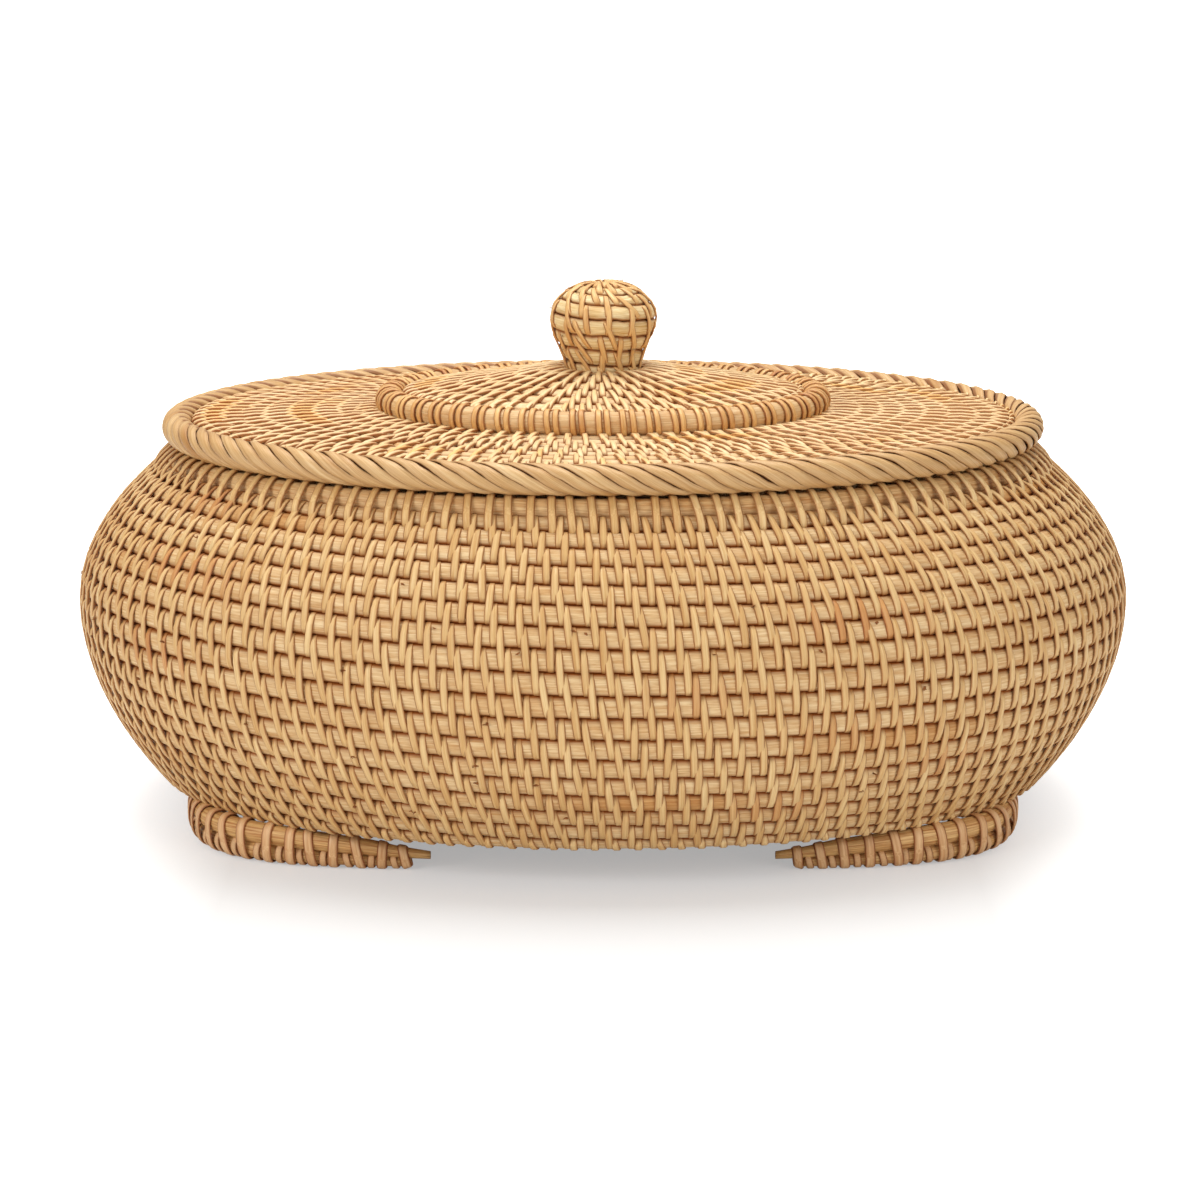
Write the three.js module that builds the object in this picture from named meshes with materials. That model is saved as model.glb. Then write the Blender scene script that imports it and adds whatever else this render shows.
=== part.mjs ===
// An oval lidded box of coiled cane, standing on two curved feet.
// Millimetres, +Z up. The origin is on the floor, under the middle of the box.
// The box is long along X, and its front faces -Y.
import * as THREE from 'three';

// Clearances between neighbouring pieces
const seatClearance = 0.4;
const coilClearance = 0.52;
const knobCoilClearance = 0.95;
const spliceClearance = 0.45;

// How round things are drawn
const ovalSteps = 20;
const knobSteps = 10;
const rodSides = 8;
const coilSides = 5;
const heightSearchSteps = 24;

// How a coil starts and ends: thin, and level with the edge that it fills
const coilStartAngle = Math.PI / 2;
const coilThinShare = 0.35;
const coilEndTurns = 0.3;
const rowCornerShare = 0.62;

// Body: the outside of the coiled wall
const bellyHalfLength = 169.7;
const depthShare = 0.74;
const footlineHalfLength = 143.4;
const shoulderHalfLength = 141.6;
const bellyRise = 57.1;
const shoulderRise = 46.4;
const footlineCornerFullness = 0.02;
const wallRows = 17;
const wallCanes = 4;
const wallRodDepth = 5.6;
const mouthRodRadius = 3.6;
const baseThickness = 4.8;

// Feet: two bound rods, one on the other, bent round each end of the box
const footEndInset = 11.8;
const footSideInset = 19.6;
const footSquareness = 5;
const footHalfAngle = THREE.MathUtils.degToRad(54);
const lowerRodRadius = 2.3;
const upperRodRadius = 2.5;
const upperRodReach = 7;
const footTaperShare = 0.55;
const footTaperLengthShare = 0.05;
const footRodSteps = 30;
const bindingThickness = 0.5;
const bindingWidth = 2.2;
const bindingClearance = 0.35;
const bindingLoops = 12;
const bindingFlats = 8;
const bindingMargin = 4;

// Lid
const ropeRadius = 5;
const ropeOverhang = 1.2;
const fieldSink = 0.4;
const fieldRise = 5.3;
const fieldRows = 8;
const fieldRodDepth = 4.3;
const lipRodRadius = 3;
const lipClearance = 2;
const ovalHalfLength = 69;
const ovalHalfDepth = 50;
const edgeRodRadius = 4.2;
const edgeSeatAngle = THREE.MathUtils.degToRad(40);
const raisedSeatAngle = THREE.MathUtils.degToRad(33);
const ovalRise = 8.2;
const ovalRows = 6;
const ovalRodDepth = 4.2;

// Knob: its widest radius, its height and its outline from the neck to the top
const knobRadius = 16.9;
const knobHeight = 28.3;
const knobSink = 1.5;
const knobRows = 7;
const knobRodDepth = 4.2;
const knobPlugRadius = 2.6;
const knobOutlineShares = [
  [0.7, 0], [0.73, 0.14], [0.81, 0.27], [0.93, 0.43],
  [1, 0.61], [0.89, 0.79], [0.63, 0.93], [0.3, 1],
];
const knobPlugShare = 0.97;
const knobCoreShare = 0.86;

// Worked out from the sizes above
const stripAllowance = bindingThickness + bindingClearance;
const footStackHeight = 2 * (stripAllowance + lowerRodRadius + upperRodRadius) + bindingClearance;
const footlineHeight = footStackHeight + seatClearance;
const bellyHeight = footlineHeight + bellyRise;
const shoulderHeight = bellyHeight + shoulderRise;
const footHalfLength = footlineHalfLength - footEndInset;
const footHalfDepth = footlineHalfLength * depthShare - footSideInset;
const lowerRodHeight = stripAllowance + lowerRodRadius;
const upperRodHeight = lowerRodHeight + lowerRodRadius + bindingClearance + upperRodRadius;

const caneColour = 0xe0bd84;
const bindingColour = 0xc9934f;
const ropeColour = 0xe4c896;
const footColour = 0xbd8a4c;

const box = new THREE.Group();

function material(colour) {
  return new THREE.MeshStandardMaterial({ color: colour, roughness: 0.62, metalness: 0 });
}

function addPiece(name, geometry, colour) {
  const mesh = new THREE.Mesh(geometry, material(colour));
  mesh.name = name;
  box.add(mesh);
}

// A closed skin over rings of points. The last ring joins the first, or both ends are capped.
function skin(rings, joined) {
  const sides = rings[0].length;
  const spans = joined ? rings.length : rings.length - 1;
  const faces = [];
  for (let i = 0; i < spans; i += 1) {
    const here = i * sides;
    const next = ((i + 1) % rings.length) * sides;
    for (let k = 0; k < sides; k += 1) {
      const l = (k + 1) % sides;
      faces.push([here + k, here + l, next + l], [here + k, next + l, next + k]);
    }
  }
  if (!joined) {
    const last = (rings.length - 1) * sides;
    for (let k = 1; k < sides - 1; k += 1) {
      faces.push([0, k + 1, k], [last, last + k, last + k + 1]);
    }
  }
  return closedGeometry(rings.flat(), faces);
}

// Turns the faces round where they would point inwards.
function closedGeometry(points, faces) {
  const volume = faces.reduce((sum, [p, q, r]) => {
    const cross = new THREE.Vector3().crossVectors(points[q], points[r]);
    return sum + points[p].dot(cross);
  }, 0);
  const outward = volume < 0 ? faces.map(([p, q, r]) => [p, r, q]) : faces;
  const geometry = new THREE.BufferGeometry();
  const positions = points.flatMap((point) => point.toArray());
  geometry.setAttribute('position', new THREE.Float32BufferAttribute(positions, 3));
  geometry.setIndex(outward.flat());
  geometry.computeVertexNormals();
  return geometry;
}

// A meridian is a curve whose x, y and z are the half length, half depth and height of an oval.
// surfacePoint goes along it by a share, round the oval by an angle, and in under the surface.
// The oval may bulge at its four corners, most where the meridian starts.
function surfacePoint(meridian, share, angle, depth) {
  const held = THREE.MathUtils.clamp(share, 0, 1);
  const oval = meridian.getPointAt(held);
  const slope = meridian.getTangentAt(held);
  const c = Math.cos(angle);
  const s = Math.sin(angle);
  const normal = new THREE.Vector3(
    oval.y * slope.z * c,
    oval.x * slope.z * s,
    -oval.x * slope.y * s * s - oval.y * slope.x * c * c,
  ).normalize();
  const bulge = 1 + (meridian.cornerFullness ?? 0) * (1 - held) ** 2 * (2 * c * s) ** 2;
  const outside = new THREE.Vector3(oval.x * c * bulge, oval.y * s * bulge, oval.z);
  return outside.addScaledVector(normal, -depth);
}

// The shortest way along a meridian, at the ends or at the sides of the oval
function narrowLength(meridian) {
  const rounds = [0, Math.PI / 2].map((angle) => {
    let length = 0;
    for (let i = 0; i < ovalSteps; i += 1) {
      const from = surfacePoint(meridian, i / ovalSteps, angle, 0);
      length += from.distanceTo(surfacePoint(meridian, (i + 1) / ovalSteps, angle, 0));
    }
    return length;
  });
  return Math.min(...rounds);
}

// Rings of one rod wound over a surface, rising a row a turn, clockwise seen from above.
// It thins out over its first and last turn, so that it starts and ends level.
function coilRings(meridian, coil, fromTurn, toTurn) {
  const { rows, steps, rodDepth, clearance } = coil;
  const gapShare = clearance / narrowLength(meridian);
  const stepCount = Math.round((toTurn - fromTurn) * steps);
  const rings = [];
  for (let i = 0; i <= stepCount; i += 1) {
    const turn = THREE.MathUtils.lerp(fromTurn, toTurn, i / stepCount);
    const low = THREE.MathUtils.clamp(turn - 1, 0, rows) / rows;
    const high = THREE.MathUtils.clamp(turn, 0, rows) / rows;
    const halfShare = (high - low - gapShare) / 2;
    const fullness = (high - low) * rows;
    const depth = rodDepth * (coilThinShare + (1 - coilThinShare) * fullness);
    const angle = coilStartAngle - turn * 2 * Math.PI;
    rings.push(rodSection(meridian, (low + high) / 2, halfShare, depth, angle));
  }
  return rings;
}

// A rod's section on a surface: flat side out, as high as its row, as deep as the rod.
function rodSection(meridian, middleShare, halfShare, depth, angle) {
  const turns = Array.from({ length: coilSides }, (_, k) => ((k + 0.5) / coilSides) * 2 * Math.PI);
  const widest = Math.max(...turns.map(Math.sin));
  const outside = Math.max(...turns.map(Math.cos));
  return turns.map((turn) => {
    const along = (halfShare * Math.sin(turn)) / widest;
    const under = (depth * (outside - Math.cos(turn))) / (outside + 1);
    return surfacePoint(meridian, middleShare + along, angle, under);
  });
}

// The least distance between the points of a coil's neighbouring turns
function leastGap(rings, steps) {
  let least = Infinity;
  for (let i = 0; i + steps < rings.length; i += 1) {
    for (const near of rings[i]) {
      for (const far of rings[i + steps]) {
        least = Math.min(least, near.distanceTo(far));
      }
    }
  }
  return least;
}

function addCoil(name, rings, steps, colour) {
  addPiece(name, skin(rings, false), colour);
  if (rings.length > steps) {
    console.log(`${name}: least gap to itself ${leastGap(rings, steps).toFixed(2)} mm`);
  }
}

// A round rod bent into a level oval
function ovalRod(halfLength, halfDepth, height, radius) {
  const rings = ovalRing(halfLength, halfDepth, height).map((middle) => {
    const out = new THREE.Vector3(middle.x / halfLength ** 2, middle.y / halfDepth ** 2, 0);
    return roundSection(middle, out.normalize(), radius);
  });
  return skin(rings, true);
}

function roundSection(middle, out, radius) {
  const points = [];
  for (let k = 0; k < rodSides; k += 1) {
    const turn = (k / rodSides) * 2 * Math.PI;
    const point = middle.clone().addScaledVector(out, radius * Math.cos(turn));
    point.z += radius * Math.sin(turn);
    points.push(point);
  }
  return points;
}

function ovalRing(halfLength, halfDepth, height) {
  const ring = [];
  for (let i = 0; i < ovalSteps; i += 1) {
    const angle = (i / ovalSteps) * 2 * Math.PI;
    ring.push(new THREE.Vector3(halfLength * Math.cos(angle), halfDepth * Math.sin(angle), height));
  }
  return ring;
}

// The wall's outline: one parabola up to the belly and one on to the shoulder
function ovalAt(halfLength, height) {
  return new THREE.Vector3(halfLength, halfLength * depthShare, height);
}

function wallMeridian() {
  const belly = ovalAt(bellyHalfLength, bellyHeight);
  const lower = ovalAt(bellyHalfLength, (footlineHeight + bellyHeight) / 2);
  const upper = ovalAt(bellyHalfLength, (bellyHeight + shoulderHeight) / 2);
  const path = new THREE.CurvePath();
  path.add(new THREE.QuadraticBezierCurve3(ovalAt(footlineHalfLength, footlineHeight), lower, belly));
  path.add(new THREE.QuadraticBezierCurve3(belly, upper, ovalAt(shoulderHalfLength, shoulderHeight)));
  path.cornerFullness = footlineCornerFullness;
  return path;
}

// The wall is one coil, laid with several lengths of cane spliced end to end.
function addWall(meridian) {
  const firstTurn = coilEndTurns;
  const lastTurn = wallRows + 1 - coilEndTurns;
  const halfSplice = spliceClearance / (2 * Math.PI * bellyHalfLength * depthShare);
  const coil = { rows: wallRows, steps: ovalSteps, rodDepth: wallRodDepth, clearance: coilClearance };
  const spliceTurn = (cane) => {
    const turn = THREE.MathUtils.lerp(firstTurn, lastTurn, cane / wallCanes);
    return Math.round(turn * ovalSteps) / ovalSteps;
  };
  for (let cane = 0; cane < wallCanes; cane += 1) {
    const start = spliceTurn(cane) + (cane > 0 ? halfSplice : 0);
    const end = spliceTurn(cane + 1) - (cane < wallCanes - 1 ? halfSplice : 0);
    addCoil(`wall_cane_${cane + 1}`, coilRings(meridian, coil, start, end), ovalSteps, caneColour);
  }
}

// The base's edge follows the inner side of the wall's first rows.
function addBase(meridian) {
  const low = footlineHeight + seatClearance;
  const rings = [low, low + baseThickness].map((height) => insideRing(meridian, height));
  addPiece('base_panel', skin(rings, false), caneColour);
}

// A level ring inside the wall, clear of its rods
function insideRing(meridian, height) {
  const share = shareAtHeight(meridian, height);
  const ring = [];
  for (let i = 0; i < ovalSteps; i += 1) {
    const angle = (i / ovalSteps) * 2 * Math.PI;
    const outside = surfacePoint(meridian, share, angle, 0);
    const inward = surfacePoint(meridian, share, angle, wallRodDepth + seatClearance).sub(outside);
    const level = new THREE.Vector3(inward.x, inward.y, 0);
    ring.push(outside.addScaledVector(level, inward.lengthSq() / level.lengthSq()));
  }
  return ring;
}

function shareAtHeight(meridian, height) {
  let [low, high] = [0, 1];
  for (let i = 0; i < heightSearchSteps; i += 1) {
    const middle = (low + high) / 2;
    [low, high] = meridian.getPointAt(middle).z < height ? [middle, high] : [low, middle];
  }
  return low;
}

// The mouth rod lies on the wall's last row. Its oval clears that row at the ends and at the sides.
function mouthOval(meridian) {
  const [end, side] = [0, Math.PI / 2].map((angle) => {
    const corner = surfacePoint(meridian, 1, angle, wallRodDepth * rowCornerShare);
    const along = surfacePoint(meridian, 1, angle, 0);
    along.sub(surfacePoint(meridian, 1 - 1 / wallRows, angle, 0)).normalize();
    return corner.addScaledVector(along, mouthRodRadius + seatClearance);
  });
  return { halfLength: end.x, halfDepth: side.y, height: Math.max(end.z, side.z) };
}

function addMouthRod(mouth) {
  const rod = ovalRod(mouth.halfLength, mouth.halfDepth, mouth.height, mouthRodRadius);
  addPiece('mouth_rod', rod, caneColour);
}

// A foot's plan is a squared oval, of which each foot follows one end.
class FootLine extends THREE.Curve {
  constructor(side, halfAngle) {
    super();
    this.side = side;
    this.halfAngle = halfAngle;
    this.arcLengthDivisions = 400;
  }

  getPoint(share, target = new THREE.Vector3()) {
    const angle = THREE.MathUtils.lerp(-this.halfAngle, this.halfAngle, share);
    const x = Math.abs(Math.cos(angle) / footHalfLength) ** footSquareness;
    const y = Math.abs(Math.sin(angle) / footHalfDepth) ** footSquareness;
    const reach = this.side * (x + y) ** (-1 / footSquareness);
    return target.set(reach * Math.cos(angle), reach * Math.sin(angle), 0);
  }
}

function footFrame(line, share) {
  const along = line.getTangentAt(share);
  const out = new THREE.Vector3(along.y, -along.x, 0);
  return { middle: line.getPointAt(share), along, out };
}

// A rod along a foot line, with its underside level
function footRod(line, underside, radiusAt) {
  const rings = [];
  for (let i = 0; i <= footRodSteps; i += 1) {
    const share = i / footRodSteps;
    const { middle, out } = footFrame(line, share);
    const radius = radiusAt(share);
    middle.z = underside + radius;
    rings.push(roundSection(middle, out, radius));
  }
  return skin(rings, false);
}

// The upper rod thins out at both its ends, where it tucks in under the wall.
function taperedShare(share) {
  const fromEnd = Math.min(share, 1 - share) / footTaperLengthShare;
  return THREE.MathUtils.lerp(footTaperShare, 1, THREE.MathUtils.clamp(fromEnd, 0, 1));
}

// One strip wound round both rods, drawn as flats round the lower rod and then the upper one
function bindingRings(line) {
  const margin = bindingMargin / line.getLength();
  const stepCount = bindingLoops * bindingFlats;
  const rings = [];
  for (let i = 0; i <= stepCount; i += 1) {
    const share = THREE.MathUtils.lerp(margin, 1 - margin, i / stepCount);
    const { middle, along, out } = footFrame(line, share);
    const turn = ((i + 0.5) / bindingFlats) * 2 * Math.PI - Math.PI / 2;
    const isHigh = Math.sin(turn) > 0;
    const away = out.multiplyScalar(Math.cos(turn)).setZ(Math.sin(turn));
    middle.z = isHigh ? upperRodHeight : lowerRodHeight;
    rings.push(stripSection(middle, along, away, isHigh ? upperRodRadius : lowerRodRadius));
  }
  return rings;
}

function stripSection(middle, along, away, rodRadius) {
  const mitre = Math.cos(Math.PI / bindingFlats);
  const under = (rodRadius + bindingClearance) / mitre;
  const outside = (rodRadius + bindingClearance + bindingThickness) / mitre;
  const half = along.clone().multiplyScalar(bindingWidth / 2);
  return [
    middle.clone().add(half).addScaledVector(away, outside),
    middle.clone().sub(half).addScaledVector(away, outside),
    middle.clone().sub(half).addScaledVector(away, under),
    middle.clone().add(half).addScaledVector(away, under),
  ];
}

function lowerFootRod(line) {
  return footRod(line, stripAllowance, () => lowerRodRadius);
}

// The upper rod lies on the lower one, and reaches a little farther under the wall.
function upperFootRod(side) {
  const line = new FootLine(side, footHalfAngle + Math.atan2(upperRodReach, footHalfLength));
  const underside = upperRodHeight - upperRodRadius;
  return footRod(line, underside, (share) => upperRodRadius * taperedShare(share));
}

function addFoot(name, side) {
  const line = new FootLine(side, footHalfAngle);
  addPiece(`${name}_lower_rod`, lowerFootRod(line), footColour);
  addPiece(`${name}_upper_rod`, upperFootRod(side), footColour);
  addCoil(`${name}_binding`, bindingRings(line), bindingFlats, bindingColour);
}

// The lid's border is a thick rope of strips that lies on the mouth rod.
function ropeOval(mouth) {
  return {
    halfLength: mouth.halfLength + ropeOverhang,
    halfDepth: mouth.halfDepth + ropeOverhang,
    height: mouth.height + mouthRodRadius + seatClearance + ropeRadius,
  };
}

// The lid's sloping field runs from the rope to the outer side of the raised oval's edge rod.
function fieldMeridian(rope) {
  const inset = ropeRadius + seatClearance;
  const low = rope.height - fieldSink;
  const away = (edgeRodRadius + seatClearance) * Math.cos(edgeSeatAngle);
  const outer = new THREE.Vector3(rope.halfLength - inset, rope.halfDepth - inset, low);
  const inner = new THREE.Vector3(ovalHalfLength + away, ovalHalfDepth + away, low + fieldRise);
  return new THREE.LineCurve3(outer, inner);
}

// The raised oval's coil starts on the inner side of its edge rod and ends at the knob's neck.
function raisedMeridian(edgeHeight) {
  const inset = (edgeRodRadius + seatClearance) * Math.cos(raisedSeatAngle);
  const neck = knobRadius * knobOutlineShares[0][0] + seatClearance;
  const low = edgeHeight + (edgeRodRadius + seatClearance) * Math.sin(raisedSeatAngle);
  const outer = new THREE.Vector3(ovalHalfLength - inset, ovalHalfDepth - inset, low);
  return new THREE.LineCurve3(outer, new THREE.Vector3(neck, neck, low + ovalRise));
}

function addWholeCoil(name, meridian, coil, colour) {
  const rings = coilRings(meridian, coil, coilEndTurns, coil.rows + 1 - coilEndTurns);
  addCoil(name, rings, coil.steps, colour);
}

// A rod under the lid that drops inside the mouth and keeps the lid in its place
function addLipRod(mouth, field) {
  const inset = mouthRodRadius + lipClearance + lipRodRadius;
  const height = field.getPointAt(0).z - fieldRodDepth - seatClearance - lipRodRadius;
  const rod = ovalRod(mouth.halfLength - inset, mouth.halfDepth - inset, height, lipRodRadius);
  addPiece('lid_lip_rod', rod, caneColour);
}

function knobMeridian(neckHeight) {
  const points = knobOutlineShares.map(([radiusShare, heightShare]) => {
    const radius = knobRadius * radiusShare;
    return new THREE.Vector3(radius, radius, neckHeight + knobHeight * heightShare);
  });
  return new THREE.CatmullRomCurve3(points);
}

function addKnob(meridian) {
  const coil = { rows: knobRows, steps: knobSteps, rodDepth: knobRodDepth, clearance: knobCoilClearance };
  addWholeCoil('knob_coil', meridian, coil, caneColour);
  addPiece('knob_core', knobCore(meridian), footColour);
}

// The core fills the knob inside its coil, with a plug up through the coil's eye.
function knobCore(meridian) {
  const inset = knobRodDepth + seatClearance;
  const outline = [];
  for (let i = 0; i < knobSteps; i += 1) {
    const point = surfacePoint(meridian, (i / knobSteps) * knobCoreShare, 0, inset);
    outline.push(new THREE.Vector2(point.x, point.z));
  }
  const top = meridian.getPointAt(1).z - knobHeight * (1 - knobPlugShare);
  const crown = outline[outline.length - 1].y;
  const profile = [
    new THREE.Vector2(0, outline[0].y),
    ...outline,
    new THREE.Vector2(knobPlugRadius, crown),
    new THREE.Vector2(knobPlugRadius, top),
    new THREE.Vector2(0, top),
  ];
  const core = new THREE.LatheGeometry(profile, knobSteps);
  core.rotateX(Math.PI / 2);
  return core;
}

function addLid(mouth) {
  const rope = ropeOval(mouth);
  const field = fieldMeridian(rope);
  const edgeRise = (edgeRodRadius + seatClearance) * Math.sin(edgeSeatAngle);
  const edgeHeight = field.getPointAt(1).z + edgeRise;
  const raised = raisedMeridian(edgeHeight);
  const flatCoil = { steps: ovalSteps, clearance: coilClearance };
  const fieldCoil = { ...flatCoil, rows: fieldRows, rodDepth: fieldRodDepth };
  const raisedCoil = { ...flatCoil, rows: ovalRows, rodDepth: ovalRodDepth };
  const ropeRod = ovalRod(rope.halfLength, rope.halfDepth, rope.height, ropeRadius);
  const edgeRod = ovalRod(ovalHalfLength, ovalHalfDepth, edgeHeight, edgeRodRadius);
  addPiece('lid_rope_rim', ropeRod, ropeColour);
  addWholeCoil('lid_field_coil', field, fieldCoil, caneColour);
  addLipRod(mouth, field);
  addPiece('raised_oval_edge_rod', edgeRod, caneColour);
  addWholeCoil('raised_oval_coil', raised, raisedCoil, caneColour);
  addKnob(knobMeridian(raised.getPointAt(1).z - knobSink));
}

const wall = wallMeridian();
const mouth = mouthOval(wall);
addBase(wall);
addWall(wall);
addMouthRod(mouth);
addFoot('left_foot', -1);
addFoot('right_foot', 1);
addLid(mouth);

export default box;
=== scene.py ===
"""An oval lidded box of coiled and stitched cane: its surfaces, built round the fixed frame.

Metres, +Z up, origin on the floor under the middle of the box. The box's front faces -Y.
Rods and strips are worked out in counting space by geometry node trees: turns of a coil, shares of
a meridian and lift off the surface become places on the box.
"""

import math
from functools import partial

import bpy
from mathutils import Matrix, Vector


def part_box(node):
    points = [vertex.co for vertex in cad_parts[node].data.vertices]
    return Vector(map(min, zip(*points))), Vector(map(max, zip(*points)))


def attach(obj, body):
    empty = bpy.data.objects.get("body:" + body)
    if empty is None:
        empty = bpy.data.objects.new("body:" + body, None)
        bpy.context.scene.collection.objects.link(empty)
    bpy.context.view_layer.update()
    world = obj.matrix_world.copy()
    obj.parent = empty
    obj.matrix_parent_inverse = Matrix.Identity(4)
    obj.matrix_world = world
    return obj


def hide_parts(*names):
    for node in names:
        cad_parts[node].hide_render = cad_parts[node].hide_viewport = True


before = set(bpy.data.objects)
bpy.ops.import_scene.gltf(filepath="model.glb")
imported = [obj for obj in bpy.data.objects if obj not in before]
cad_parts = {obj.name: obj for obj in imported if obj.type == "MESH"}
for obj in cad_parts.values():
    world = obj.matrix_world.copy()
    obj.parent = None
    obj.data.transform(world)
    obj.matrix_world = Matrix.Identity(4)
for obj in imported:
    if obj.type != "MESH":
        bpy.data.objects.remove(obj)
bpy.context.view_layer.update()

# Camera: a long lens, a little above the box, whose picture is 1200 pixels wide
PICTURE_SIDE = 1200
FOCAL_PIXELS = 3661
SENSOR_WIDTH = 36
CAMERA_DISTANCE = 1.2
CAMERA_ELEVATION = math.radians(12.6)
TARGET_HEIGHT = 0.0655
TARGET_PIXEL = (603, 602)

# Fineness of what is drawn
PLAN_POINTS = 360
MERIDIAN_POINTS = 120
RING_STEPS = 240
STRIP_SIDES = 6
FIBRE_SEED_SIZE = (6, 4, False)

# Cane: shapes of rods and strips, and their finish
THIN_END_SHARE = 0.35
BUMPS_A_METRE = 60.0
SWELL_SHARE = 0.06
STRIP_SQUARENESS = 0.7
STRIP_BED = 0.0003
LINES_SET_ON = 0.013
LINE_HEIGHT = 0.0004
BLOTCHES_A_METRE = 38.0
# Colour of the painted shadow and stain on the sides of a strip
EDGE_SHADOW_AND_STAIN = (176, 112, 56)

# The wall's outside, as the frame has it
DEPTH_SHARE = 0.74
BELLY_HALF_LENGTH = 0.1697
FOOTLINE_HALF_LENGTH = 0.1434
SHOULDER_HALF_LENGTH = 0.1416
FOOTLINE_HEIGHT = 0.01205
BELLY_RISE = 0.0571
SHOULDER_RISE = 0.0464
FOOTLINE_CORNER_FULLNESS = 0.02
WALL_ROWS = 17.75
WALL_ROD_DEPTH = 0.0062
END_TURNS = 0.3

# Base, whose rows run in round a straight middle
BASE_ROWS = 15
BASE_EDGE_INSET = 0.0012
BASE_EYE = 0.0015

# Feet
FOOT_HALF_LENGTH = 0.13
FOOT_HALF_DEPTH = 0.0859
FOOT_SQUARENESS = 4.4
FOOT_HALF_ANGLE = math.radians(54)
FOOT_REACH_ANGLE = math.atan2(0.011, FOOT_HALF_LENGTH)
LOWER_ROD_RADIUS = 0.0023
UPPER_ROD_RADIUS = 0.0025
ROD_SPREAD = 0.0002
LOWER_FULLNESS_SHARES = [(0, 0.62), (0.09, 0.68), (0.2, 0.86), (0.32, 1.04), (0.45, 1.12), (1, 1.1)]
UPPER_FULLNESS_SHARES = [(0, 0.46), (0.08, 0.7), (0.14, 0.95), (0.25, 1.13), (0.36, 1.26), (1, 1.2)]
STRIP_ALLOWANCE = 0.00085
FOOT_GAP = -0.0006
FOOT_STACK = 2 * (LOWER_ROD_RADIUS + UPPER_ROD_RADIUS) + FOOT_GAP
FOOT_POINTS = 160
FOOT_WRAPS = 37
FOOT_WRAP_MARGIN = 0.002
FOOT_BARE_SHARE = 0.05
UPPER_REACH_SHARE = 0.85
WRAPS_REACH_SHARE = 0.7

# Stitches on the wall: a whole count less a third sets each row a third of a pitch on
WALL_STITCHES_A_TURN = 123 + 2 / 3
MOUTH_LOWERED = 0.0009
MOUTH_SPREAD = 0.0006
MOUTH_ROD_SWELL = 0.0004
MOUTH_WRAPS_OUT = 0.0024
MOUTH_WRAPS_LOWERED = 0.0025
STITCH_WIDTH = 0.0025
STITCH_THICKNESS = 0.0009
TUFT_FIBRES = 4

# Lid
SEAT_CLEARANCE = 0.0004
ROPE_STRIPS = 6
ROPE_TWISTS = 17
ROPE_COVER = 0.0016
LID_END_TURNS = 0.06
FIELD_SINK = 0.0004
FIELD_RISE = 0.0053
FIELD_EDGE_LIFT = 0.0028
FIELD_EDGE_PRESS = 0.0004
EDGE_SEAT_ANGLE = math.radians(40)
RAISED_SEAT_ANGLE = math.radians(33)
RAISED_RISE = 0.0082
FIELD_ROWS = 8
UNDER_EDGE_DROP = 0.0022
UNDER_EDGE_SHARE = 0.6
FIELD_ROD_DEPTH = 0.0046
RAISED_ROWS = 6
RAISED_ROD_DEPTH = 0.0044
EDGE_ROD_RADIUS = 0.0042
RAISED_HALF_LENGTH = 0.069
RAISED_HALF_DEPTH = 0.05

# Knob
KNOB_RADIUS = 0.0169
KNOB_HEIGHT = 0.0283
KNOB_SINK = 0.0015
KNOB_ROWS = 8
KNOB_OUTLINE_SHARES = [
    (0.7, 0), (0.73, 0.14), (0.81, 0.27), (0.93, 0.43),
    (1, 0.61), (0.89, 0.79), (0.63, 0.93), (0.3, 1), (0.05, 0.985),
]

# Floor
FLOOR_REACH = 30
FLOOR_GLOW = 0.38
SHADOW_HALF_LENGTH = 0.115
SHADOW_REACH = 0.35
WHITE = (1.0, 1.0, 1.0, 1.0)


# Arithmetic on node sockets

def arithmetic(operation, swapped=False):
    def worked_out(self, other):
        return maths(operation, other, self) if swapped else maths(operation, self, other)
    return worked_out


class Value:
    """A number or vector that flows through a node tree, with the usual arithmetic."""

    def __init__(self, socket):
        self.socket = socket

    def __abs__(self):
        return maths("ABSOLUTE", self)

    __add__ = arithmetic("ADD")
    __radd__ = arithmetic("ADD", swapped=True)
    __sub__ = arithmetic("SUBTRACT")
    __rsub__ = arithmetic("SUBTRACT", swapped=True)
    __mul__ = arithmetic("MULTIPLY")
    __rmul__ = arithmetic("MULTIPLY", swapped=True)
    __truediv__ = arithmetic("DIVIDE")
    __rtruediv__ = arithmetic("DIVIDE", swapped=True)
    __pow__ = arithmetic("POWER")


def tree_of(*values):
    return next(value.socket.id_data for value in values if isinstance(value, Value))


def feed(slot, value):
    if isinstance(value, Value):
        slot.id_data.links.new(value.socket, slot)
    else:
        slot.default_value = value


def node(tree, kind, inputs=None, **settings):
    made = tree.nodes.new(kind)
    for key, value in settings.items():
        setattr(made, key, value)
    for key, value in (inputs or {}).items():
        feed(made.inputs[key], value)
    return made


def output(tree, kind, inputs=None, name=0, **settings):
    """What a new node gives out, by name or as its first output."""
    return Value(node(tree, kind, inputs, **settings).outputs[name])


def maths(operation, *values):
    return output(tree_of(*values), "ShaderNodeMath", dict(enumerate(values)), operation=operation)


def vector_maths(operation, *values):
    return output(tree_of(*values), "ShaderNodeVectorMath", dict(enumerate(values)), operation=operation)


def scaled(vector, factor):
    inputs = {"Vector": vector, "Scale": factor}
    return output(tree_of(vector), "ShaderNodeVectorMath", inputs, operation="SCALE")


def clamped(value, low=0.0, high=1.0):
    return maths("MINIMUM", maths("MAXIMUM", value, low), high)


def mixed(low, high, share):
    return low + (high - low) * share


def circle(share):
    """Cosine and sine of a share of a whole turn."""
    angle = share * math.tau
    return maths("COSINE", angle), maths("SINE", angle)


def squared_off(value, power):
    """A sine or cosine drawn out towards a square wave, for a power under 1."""
    return maths("SIGN", value) * abs(value) ** power


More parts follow.
